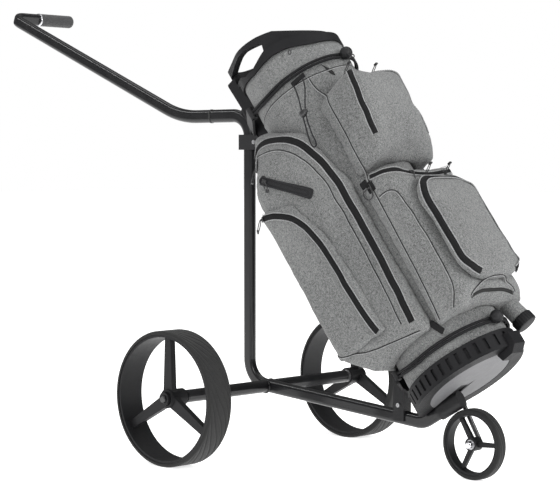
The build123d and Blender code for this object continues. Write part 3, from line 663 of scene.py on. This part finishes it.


# Black for the piping cords, and also for the flat strips of painted shade at the flap pocket's
# mouth and the collar's slits.
piping_and_painted_shade_black = Finish("black piping cord and painted opening shade", roughness=0.7)
piping_and_painted_shade_black.set("Specular IOR Level", 0.18)
piping_and_painted_shade_black.set("Base Color", piping_and_painted_shade_black.blend(piping_and_painted_shade_black.mottle(900.0),
    (0.008, 0.008, 0.008), (0.03, 0.03, 0.03)))
thread_grey = Finish("grey sewing thread", roughness=0.6)
thread_grey.set("Base Color", thread_grey.blend(thread_grey.mottle(2500.0), (0.10, 0.10, 0.10),
    (0.30, 0.30, 0.30)))
piping_light = heather("piping cloth", (0.08, 0.08, 0.082), (0.38, 0.385, 0.385), 2.0)
side_seam = [(88, -97, 724), (92, -99, 660), (91, -101, 540), (88, -101, 430), (84, -102, 300),
    (78, -102, 160), (72, -101, 104)]
pocket_foot = [(-145, -160, 172), (-110, -158, 148), (-71, -146, 126), (-20, -136, 108),
    (36, -122, 98)]
inner_seam = [(-140, -150, 668), (-60, -140, 640), (-8, -138, 590), (18, -140, 520),
    (24, -142, 440), (24, -142, 300), (16, -140, 140)]
inset_seam = [(92, -103, 392), (118, -104, 390), (138, -104, 374), (148, -102, 320),
    (150, -102, 230), (144, -103, 150), (114, -103, 104)]
flap_seam = [(158, -66, 92), (164, -60, 104), (171, -36, 115), (172, 0, 119), (171, 36, 115),
    (164, 60, 104), (158, 66, 92)]
slot_mouth = [(158, -62, 88), (168, -40, 90), (172, 0, 91), (168, 40, 90), (158, 62, 88)]
collar = []
for step in range(0, 61):
    turn = radians(-150 + 5 * step)
    reach = oval_reach(126, 106, turn)
    collar.append((reach * cos(turn), reach * sin(turn), 722 + 8 * (1 - cos(turn)) / 2))
dark_lines, light_lines, stitch_shapes = [], [], []
pairs = [side_seam, pocket_foot, inner_seam, inset_seam]
for marks in pairs + [flipped(marks) for marks in pairs] + [flap_seam, collar]:
    line = on_cloth(marks)
    edge = 1 if marks[0][1] < 0 else -1
    dark_lines.append(sweep(*beside(line, -0.0011 * edge, 0.0003), circle(0.0011)))
    light_lines.append(sweep(*beside(line, 0.0012 * edge, 0.0003), circle(0.0012)))
    stitch_shapes += threads(beside(line, 0.0050 * edge, 0.0002))
# A flat black strip laid along the flap pocket's mouth, just under the flap: painted shade of the
# shadowed opening.
mouth = [(-0.0036, -0.001), (-0.0036, 0.0006), (0.0036, 0.0006), (0.0036, -0.001)]
dark_lines.append(sweep(*on_cloth(slot_mouth), mouth))
# Two dark leaf-shaped sheets on the collar stand in for its slits: painted shade of the openings,
# laid flat on the cloth.
for sign in (-1, 1):
    points, ups = on_cloth([(112, sign * 60, 742), (117, sign * 52, 722), (120, sign * 46, 704)],
        2.0)
    vertices = []
    for k, (point, up) in enumerate(zip(points, ups)):
        along = points[min(k + 1, len(points) - 1)] - points[max(k - 1, 0)]
        belly = sin(pi * (k / (len(points) - 1)) ** 1.6)
        wide = along.cross(up).normalized() * (0.0004 + 0.0042 * belly)
        vertices += [point - wide + up * 0.0006, point + wide + up * 0.0006]
    dark_lines.append((vertices,
        [(2 * k, 2 * k + 1, 2 * k + 3, 2 * k + 2) for k in range(len(points) - 1)]))
# One piece holds the black piping cords and the strips of painted shade.
make("seam_cords_and_painted_opening_shade", join(dark_lines), piping_and_painted_shade_black)
make("seam_piping", join(light_lines), piping_light)

# ---- Zips ----
# Water-resistant zips: a black coated tape with its coil turned in, sewn between folded cloth
# edges. Each runs round its pocket, and ends square under the cloth.
zip_black = Finish("black zip tape")
zip_black.set("Specular IOR Level", 0.18)
ribs = zip_black.node("TexWave", {"Vector": zip_black.place(), "Scale": 160.0, "Distortion": 1.0})
zip_black.set("Base Color", zip_black.blend(ribs, (0.004, 0.004, 0.004), (0.012, 0.012, 0.013)))
zip_black.set("Roughness", 0.62 + 0.2 * ribs)
zip_black.relief(ribs, 0.0006, 0.6)


def zip_tape(marks, wide, sewn=True):
    """Tape with its two lips, and the folded cloth edge and stitches on each side."""
    half = wide * MM / 2
    line = on_cloth(marks)
    lip = [(-half, -0.0012), (-half, 0.0006), (-0.0022, 0.0013), (-0.0012, 0.0021),
        (-0.0003, 0.0014)]
    section = lip + [(-x, y) for x, y in lip[::-1]]
    tape = sweep(*line, section)
    folds = [sweep(*beside(line, side * (half + 0.0009), 0.0003), circle(0.0013)) for side in (-1,
        1)]
    for side in (-1, 1) if sewn else ():
        stitch_shapes.extend(threads(beside(line, side * (half + 0.0044), 0.0002)))
    return tape, folds


apparel_zip = [(-148, -140, 640), (-120, -134, 664), (-77, -124, 672), (-30, -128, 648),
    (8, -131, 610)]
apparel_zip += [(37, -136, 560), (50, -140, 488), (55, -140, 381), (50, -140, 262), (38, -138, 131)]
low_zip = [(-148, -166, 520), (-110, -172, 506), (-81, -172, 484), (-52, -172, 447),
    (-36, -172, 377)]
low_zip += [(-31, -172, 270), (-16, -170, 140)]
dome_zip = [(156, -88, 512), (164, -90, 562), (172, -88, 618), (168, -78, 655), (154, -58, 678),
    (142, -34, 684)]
dome_zip = dome_zip + [(140, 0, 684)] + flipped(dome_zip)[::-1]
lower_zip = [(96, -103, 444), (124, -102, 436), (150, -96, 424), (164, -78, 414), (168, -40, 410),
    (168, 0, 410)]
lower_zip = lower_zip + flipped(lower_zip)[-2::-1]
panel_zip = [(188, -58, 126), (186, -82, 136), (184, -93, 168), (183, -94, 250), (184, -92, 325),
    (184, -78, 364)]
panel_zip += [(182, -52, 384), (180, -30, 388)]
panel_zip = panel_zip + [(180, 0, 388)] + flipped(panel_zip)[::-1]
tapes, folds = [], []
runs = [(apparel_zip, 15), (low_zip, 13), (flipped(apparel_zip), 15), (flipped(low_zip), 13)]
for marks, wide in runs + [(dome_zip, 12), (lower_zip, 10), (panel_zip, 14)]:
    tape, edges = zip_tape(marks, wide, marks is not panel_zip)
    tapes.append(tape)
    folds += edges
make("zip_tapes", join(tapes), zip_black)
make("zip_fold_edges", join(folds), piping_light)
make("sewing_threads", join(stitch_shapes), thread_grey)

# ---- Zip sliders and their pulls ----
# Each slider is a small die-cast body with an arched bridge, lacquered black, and its pull is a
# loop of round cord with a moulded end. Two at the chest zips and four in front can run.
lacquer = Finish("black lacquered metal", coat_weight=0.3, coat_roughness=0.2)
lacquer.set("Base Color", (0.016, 0.016, 0.017))
lacquer.set("Roughness", 0.32 + 0.25 * lacquer.mottle(700.0))


def block(long, wide, tall, edge, at=(0, 0, 0)):
    """A block with rounded edges, in its own place."""
    form = bmesh.new()
    bmesh.ops.create_cube(form, size=1.0)
    bmesh.ops.scale(form, vec=(long, wide, tall), verts=form.verts)
    bmesh.ops.bevel(form, geom=form.edges[:], offset=edge, segments=3, affect="EDGES", profile=0.6)
    bmesh.ops.translate(form, vec=at, verts=form.verts)
    form.verts.ensure_lookup_table()
    shape = [v.co.copy() for v in form.verts], [tuple(v.index for v in f.verts) for f in form.faces]
    form.free()
    return shape


def loop(long, wide, radius, start, droop, count=28):
    """A closed loop of cord that starts at a point and hangs along -Z, or along droop."""
    ring = []
    for step in range(count):
        turn = 2 * pi * step / count
        down = (1 - cos(turn)) / 2 * long
        ring.append(Vector(start) + Vector(droop) * down + Vector((0, sin(turn) * wide / 2, 0)))
    out = Vector(droop).cross(Vector((0, 1, 0))).normalized()
    return sweep(ring, [out] * count, circle(radius, 6), closed=True)


def placed(shape, at, along, up):
    """A shape drawn with X along its zip and Z off the cloth, put in its place."""
    side = up.cross(along).normalized()
    ahead = side.cross(up)
    turn = Matrix((ahead, side, up)).transposed()
    return [turn @ v + at for v in shape[0]], shape[1]


def slider(name, at, along, up, hang, body, node=None):
    """A slider at a point of its zip, with its cord loop hanging in the direction hang."""
    turn = Matrix((up.cross(along).normalized().cross(up), up.cross(along).normalized(), up))
    droop = turn @ hang
    shapes = [block(0.011, 0.0085, 0.0028, 0.0011, (0, 0, 0.0016))]
    shapes += [block(0.0062, 0.0034, 0.0022, 0.0009, (0, 0, 0.0042))]
    shapes += [loop(0.027, 0.010, 0.0010, (0, 0, 0.0052), droop)]
    end = Vector((0, 0, 0.0052)) + droop * 0.026
    shapes += [block(0.0062, 0.0085, 0.0040, 0.0012, end)]
    made = make(name, join([placed(shape, at, along, up) for shape in shapes]), lacquer, body)
    if node:
        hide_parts(node)
    return made


def on_zip(marks, share):
    """A place along a zip on the cloth, with the zip's direction and the way off the cloth."""
    points, ups = on_cloth(marks)
    here = max(1, min(len(points) - 2, round(share * (len(points) - 1))))
    return points[here], (points[here + 1] - points[here - 1]).normalized(), ups[here]


down_bag = bag_way(0, 0, -1)
forward = bag_way(1, 0, 0)
left = Vector((0, 1, 0))
for side, sign in (("right", -1), ("left", 1)):
    hang = bag_way(0.90, 0, 0.44)
    for part in ("upper", "panel"):
        node = side + "_" + part + "_zip_slider"
        low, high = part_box(node)
        at = (low + high) / 2 - bag_way(0, 0, 1) * 0.0030
        slider(node + "_and_pull", at, left, bag_way(0, 0, 1), hang, node, node)
    for word, marks, share in (("lower_front", lower_zip, 0.36), ("apparel", apparel_zip, 0.01),
                               ("side_low", low_zip, 0.01)):
        marks = marks if sign < 0 else flipped(marks)
        at, along, up = on_zip(marks, share)
        hang = (Vector((0, 0, -1)) + up * 0.25).normalized()
        slider(side + "_" + word + "_slider_and_pull", at + up * 0.0012, along, up, hang, "cart")

# ---- Chest zips ----
# A padded black garage on each side pocket: a rounded bead of coated cloth round a short zip,
# whose slider parks at the back end.
chest_cloth = Finish("black coated cloth")
chest_cloth.set("Specular IOR Level", 0.18)
chest_grain = chest_cloth.mottle(900.0)
chest_cloth.set("Base Color", chest_cloth.blend(chest_grain, (0.010, 0.010, 0.011),
    (0.028, 0.028, 0.030)))
chest_cloth.set("Roughness", 0.55 + 0.2 * chest_grain)
chest_cloth.relief(chest_grain, 0.0003, 0.5)
chest_run = (CHEST_TO - CHEST_FROM).normalized()
chest_up = chest_run.cross(Vector((0.62, 0.1, 0.78))).normalized()
chest_long = (CHEST_TO - CHEST_FROM).length
for side, sign in (("right", 1), ("left", -1)):
    run = bag_way(chest_run.x, sign * chest_run.y, chest_run.z)
    up = bag_way(chest_up.x, sign * chest_up.y, chest_up.z)
    middle = (CHEST_FROM + CHEST_TO) / 2
    middle = bag(middle.x, sign * middle.y, middle.z)
    shapes = [block(chest_long * MM + 0.014, 0.025, 0.021, 0.0095, (0, 0, -0.0035))]
    long, round_r = chest_long * MM / 2 - 0.004, 0.0075
    rim, ups = [], []
    for step in range(64):
        turn = 2 * pi * step / 64
        rim.append(Vector(((long if cos(turn) > 0 else -long) + round_r * cos(turn),
            round_r * sin(turn), 0.0066)))
        ups.append(Vector((0, 0, 1)))
    shapes.append(sweep(rim, ups, circle(0.0019), closed=True))
    shapes.append(block(2 * long, 0.0030, 0.0014, 0.0005, (0, 0.0017, 0.0072)))
    shapes.append(block(2 * long, 0.0030, 0.0014, 0.0005, (0, -0.0017, 0.0072)))
    garage = make(side + "_chest_zip_garage", join([placed(s, middle, run, up) for s in shapes]),
        chest_cloth)
    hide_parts(side + "_chest_zip")
    node = side + "_chest_slider"
    start = bag(CHEST_FROM.x, sign * CHEST_FROM.y, CHEST_FROM.z) + run * 0.010 + up * 0.0086
    slider(node + "_and_pull", start, run, up, (down_bag + up * 0.15).normalized(), node, node)

# ---- D-ring, webbing tabs and eyelet ----
# A welded wire D-ring hangs in a folded webbing tab for a glove, and a second tab holds the
# towel cord. Webbing is a tight black nylon weave with a bound edge.
webbing = Finish("black nylon webbing")
webbing.set("Specular IOR Level", 0.18)
weave = webbing.node("TexWave", {"Vector": webbing.place(), "Scale": 260.0, "Distortion": 0.5})
webbing.set("Base Color", webbing.blend(weave, (0.004, 0.004, 0.004), (0.016, 0.016, 0.017)))
webbing.set("Roughness", 0.72 + 0.15 * weave)
webbing.relief(weave, 0.0004, 0.7)
dress(webbing, "webbing_tabs", edge=0.0009)
low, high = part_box("d_ring")
ring_at = (low + high) / 2
d_loop, ups = [], []
for step in range(48):
    turn = 2 * pi * step / 48
    flat = min(1.0, 0.62 / max(0.001, sin(turn))) if sin(turn) > 0.62 else 1.0
    across = 0.0122 * cos(turn) * (1.0 if sin(turn) < 0.62 else 1.05)
    d_loop.append(ring_at + forward * across - down_bag * 0.0135 * sin(turn) * flat)
    ups.append(Vector((0, -1, 0)))
d_ring = make("wire_d_ring", sweep(d_loop, ups, circle(0.0013), closed=True), lacquer,
    "d_ring_body")
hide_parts("d_ring")
patch, patch_faces = block(0.020, 0.024, 0.0022, 0.0010)
make("d_ring_patch", placed((patch, patch_faces), bag(95, -104.0, 424), forward,
    Vector((0, -1, 0))), webbing)
for sign in (-1, 1):
    eyelet_line = [bag(85, sign * 103.0, 788) + forward * 0.0042 * cos(t / 24 * 2 * pi)
                   - down_bag * 0.0042 * sin(t / 24 * 2 * pi) for t in range(24)]
    eyelet_ring = sweep(eyelet_line, [Vector((0, sign, 0))] * 24, circle(0.0013), closed=True)
    make("eyelet_right" if sign < 0 else "eyelet_left", eyelet_ring, lacquer)
    tab = block(0.036, 0.013, 0.006, 0.0018)
    tab = placed(tab, bag(66, sign * 103.5, 97), Vector((0.9, 0, -0.42)).normalized(),
        Vector((0, sign, 0)))
    make("foot_tab_right" if sign < 0 else "foot_tab_left", tab, webbing)

# ---- Towel cord ----
# A limp loop of 3 mm black cord, its two ends sewn under the tab, drawn together by a toggle.
CORD_WIDE = 0.003
cord_black = Finish("black round cord")
cord_black.set("Specular IOR Level", 0.18)
braid = cord_black.node("TexWave", {"Vector": cord_black.place((1.0, 1.0, 0.8)), "Scale": 420.0})
cord_black.set("Base Color", cord_black.blend(braid, (0.008, 0.008, 0.009), (0.030, 0.030, 0.032)))
cord_black.set("Roughness", 0.7 + 0.15 * braid)
cord_black.relief(braid, 0.0004, 0.7)
CORD_ROUTE = [
    (54, -106.5, 722), (54, -108.5, 704), (51, -113, 680), (49, -121, 654), (47, -127, 630),
    (42.5, -131, 605), (39.5, -133, 588), (38.5, -133.6, 577), (39.5, -134, 570),
        (43, -134.2, 565.5),
    (48, -134.2, 565.5), (51.5, -134, 570), (52.5, -133.6, 577), (52, -132.6, 589), (53, -130, 609),
    (54, -124, 633), (58, -117, 657), (69, -110, 682), (79, -104, 704), (81, -102.5, 722),
]
cord_curve = bpy.data.curves.new("towel_cord_line", "CURVE")
cord_curve.dimensions = "3D"
cord_curve.bevel_depth = CORD_WIDE / 2
cord_curve.bevel_resolution = 4
cord_curve.use_fill_caps = True
cord_spline = cord_curve.splines.new("NURBS")
cord_spline.points.add(len(CORD_ROUTE) - 1)
for point, mark in zip(cord_spline.points, CORD_ROUTE):
    point.co = (*bag(*mark), 1.0)
cord_spline.order_u = 3
cord_spline.use_endpoint_u = True
cord_spline.resolution_u = 8
cord_curve.materials.append(cord_black.material)
towel_cord = bpy.data.objects.new("towel_cord_loop", cord_curve)
scene.collection.objects.link(towel_cord)
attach(towel_cord, "cart")
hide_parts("towel_cord")
low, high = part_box("cord_lock")
toggle_at = (low + high) / 2
toggle_up = Vector((0, -1, 0))
toggle_shapes = [block(0.017, 0.0125, 0.0095, 0.0030),
    block(0.0050, 0.0085, 0.0080, 0.0020, (0.0095, 0, 0))]
toggle_shapes.append(block(0.0030, 0.0138, 0.0104, 0.0012, (-0.003, 0, 0)))
toggle_shapes = [placed(shape, toggle_at, forward, toggle_up) for shape in toggle_shapes]
toggle = make("cord_toggle", join(toggle_shapes), button_black)
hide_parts("cord_lock")
bag(*CORD_ROUTE[0])

# ---- Straps and their balls ----
# Doubled elastic cord in a tight black braid, hooked on the brackets and joined in front by a
# hard ball with a dimpled grip.
strap_braid = Finish("braided elastic")
strap_braid.set("Specular IOR Level", 0.18)
plait = strap_braid.node("TexWave", {"Vector": strap_braid.place(), "Scale": 330.0,
    "Distortion": 3.0})
strap_braid.set("Base Color", strap_braid.blend(plait, (0.004, 0.004, 0.005),
    (0.020, 0.020, 0.021)))
strap_braid.set("Roughness", 0.6 + 0.25 * plait)
strap_braid.relief(plait, 0.0006, 0.8)
dress(strap_braid, "upper_strap_cord", "lower_strap_cord")
dimpled = Finish("dimpled black ball")
dimpled.set("Specular IOR Level", 0.3)
dimples = dimpled.node("TexVoronoi", {"Vector": dimpled.place(), "Scale": 260.0})
dimpled.set("Base Color", (0.010, 0.010, 0.011))
dimpled.set("Roughness", 0.38 + 0.3 * dimples)
dimpled.relief(dimples, 0.0012, 0.8)
dress(dimpled, "strap_balls")

# ---- Moulded top, spine plate, dividers and base ----
# Charcoal polypropylene with a fine spark grain: a ring with the divider ribs, the raised rim
# that is the hand grip, a spine plate, and a ribbed base with a lighter underside.
charcoal = Finish("grained charcoal plastic")
spark = charcoal.mottle(1500.0, detail=4.0)
charcoal.set("Base Color", charcoal.blend(spark, (0.005, 0.005, 0.006), (0.014, 0.014, 0.015)))
charcoal.set("Roughness", 0.44 + 0.2 * charcoal.mottle(50.0, detail=4.0))
charcoal.relief(spark, 0.0003, 0.6)
charcoal.set("Specular IOR Level", 0.16)
dress(charcoal, "top_ring", "top_handle_rim", "spine_plate", "divider_ribs", edge=0.0018)
dress(charcoal, "base_moulding", "base_foot", edge=0.0010)
light_plastic = Finish("grey underside plastic")
light_plastic.set("Base Color", light_plastic.blend(light_plastic.mottle(900.0),
    (0.10, 0.10, 0.105), (0.17, 0.17, 0.175)))
light_plastic.set("Roughness", 0.5 + 0.2 * light_plastic.mottle(60.0))
dress(light_plastic, "base_underside_plate", edge=0.0006)

# ---- Dividers ----
# Two thin lined sheets hang full length from the ribs, bound along the top with webbing, so
# that shafts don't tangle.
for word, x0 in (("rear", -36), ("front", 36)):
    across, deep = 32, 60
    vertices, faces = [], []
    for face in (-0.6, 0.6):
        for row in range(deep + 1):
            for column in range(across + 1):
                y, z = (column / across - 0.5) * 184, 22 + row / deep * 766
                fall = sin(pi * row / deep)
                wavy = 2.4 * fall * sin(y * 0.06 + row * 0.05 + x0)
                vertices.append(bag(x0 + wavy + face, y, z))
    size = (across + 1) * (deep + 1)
    for row in range(deep):
        for column in range(across):
            here = row * (across + 1) + column
            quad = (here, here + 1, here + across + 2, here + across + 1)
            faces.append(quad)
            faces.append(tuple(size + corner for corner in quad[::-1]))
    sheet = make(word + "_divider_sheet", (vertices, faces), shade_cloth)
    if word == "rear":
        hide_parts("full_length_dividers")

# ---- Umbrella tube ----
# A sewn sleeve of the bag's cloth for an umbrella, closed below by a ribbed push-on cap.
tube_way = bag_way(-0.2, -0.14, 1.0)
tube_foot = bag(132, 88, 44)
tube_side = tube_way.cross(left).normalized()
tube_across = tube_way.cross(tube_side).normalized()


def round_form(profile, count, bump=0.0, bumps=1):
    """A body turned about the umbrella tube's axis from (radius, height) steps in mm."""
    vertices, faces = [], []
    for radius, height in profile:
        for step in range(count):
            turn = 2 * pi * step / count
            reach = (radius + bump * max(0.0, cos(bumps * turn)) ** 3) * MM
            out = tube_side * cos(turn) * reach + tube_across * sin(turn) * reach
            vertices.append(tube_foot + tube_way * height * MM + out)
    for row in range(len(profile) - 1):
        for step in range(count):
            here, there = row * count + step, row * count + (step + 1) % count
            faces.append((here, there, there + count, here + count))
    return vertices, faces


sleeve = make("umbrella_sleeve", round_form([(14, 20), (20.4, 20.5), (21, 24), (20.6, 40),
    (20.9, 60), (20.2, 90)], 64), grey_cloth)
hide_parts("umbrella_tube")
cap_steps = [(0.1, 0.2), (19, 0), (22, 0.8), (23, 2.6), (23, 19.5), (22.2, 21.4), (14, 21.6)]
cap = make("umbrella_cap", round_form(cap_steps, 144, 0.9, 24), charcoal)
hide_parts("umbrella_tube_cap")

# ---- Camera, floor and light ----
# A pale studio floor and soft light from broad panels, seen from a little above the axle.
floor_finish = Finish("pale floor", roughness=0.9, emission_strength=0.72)
floor_finish.set("Emission Color", (1.0, 1.0, 1.0))
floor_finish.set("Base Color", floor_finish.blend(floor_finish.mottle(3.0), (0.86, 0.86, 0.86),
    (0.9, 0.9, 0.9)))
bpy.ops.mesh.primitive_plane_add(size=60, location=(0, 0, 0))
floor = bpy.context.object
floor.name = "studio_floor"
floor.data.materials.append(floor_finish.material)
world = bpy.data.worlds.new("pale studio")
scene.world = world
world.use_nodes = True
world.node_tree.nodes["Background"].inputs["Color"].default_value = (1.0, 1.0, 1.0, 1.0)
sky = world.node_tree.nodes["Background"].inputs["Strength"]
ray = world.node_tree.nodes.new("ShaderNodeLightPath")
dimmed = world.node_tree.nodes.new("ShaderNodeMapRange")
dimmed.inputs["To Min"].default_value = 0.5
dimmed.inputs["To Max"].default_value = 0.16
world.node_tree.links.new(dimmed.inputs["Value"], ray.outputs["Is Glossy Ray"])
brighter = world.node_tree.nodes.new("ShaderNodeMath")
brighter.operation = "MAXIMUM"
world.node_tree.links.new(brighter.inputs[0], dimmed.outputs["Result"])
world.node_tree.links.new(brighter.inputs[1], ray.outputs["Is Camera Ray"])
world.node_tree.links.new(sky, brighter.outputs["Value"])
scene.view_settings.view_transform = "Standard"


def soft_light(name, place, target, size, power):
    lamp = bpy.data.lights.new(name, "AREA")
    lamp.shape = "RECTANGLE"
    lamp.size, lamp.size_y = size
    lamp.energy = power
    holder = bpy.data.objects.new(name, lamp)
    holder.location = place
    holder.rotation_euler = (Vector(target) - Vector(place)).to_track_quat("-Z", "Y").to_euler()
    scene.collection.objects.link(holder)


soft_light("key_panel", (3.6, 0.2, 1.9), (0.2, 0, 0.5), (1.5, 1.5), 88)
soft_light("side_panel", (1.0, -3.6, 2.2), (0.1, 0, 0.5), (1.8, 1.2), 42)
soft_light("strip_panel", (-1.6, -1.6, 2.2), (-0.3, 0, 0.8), (1.8, 0.2), 16)
soft_light("ceiling_panel", (0.2, 0.2, 4.2), (0.1, 0, 0), (4.0, 4.0), 90)

camera_data = bpy.data.cameras.new("camera")
camera_data.lens = 119.26
camera_data.sensor_width = 36
camera = bpy.data.objects.new("camera", camera_data)
target = Vector((0.14945, 0.0, 0.4639))
camera.location = Vector((2.9653, -3.0165, 0.6441))
camera.rotation_euler = (target - camera.location).to_track_quat("-Z", "Y").to_euler()
scene.collection.objects.link(camera)
scene.camera = camera
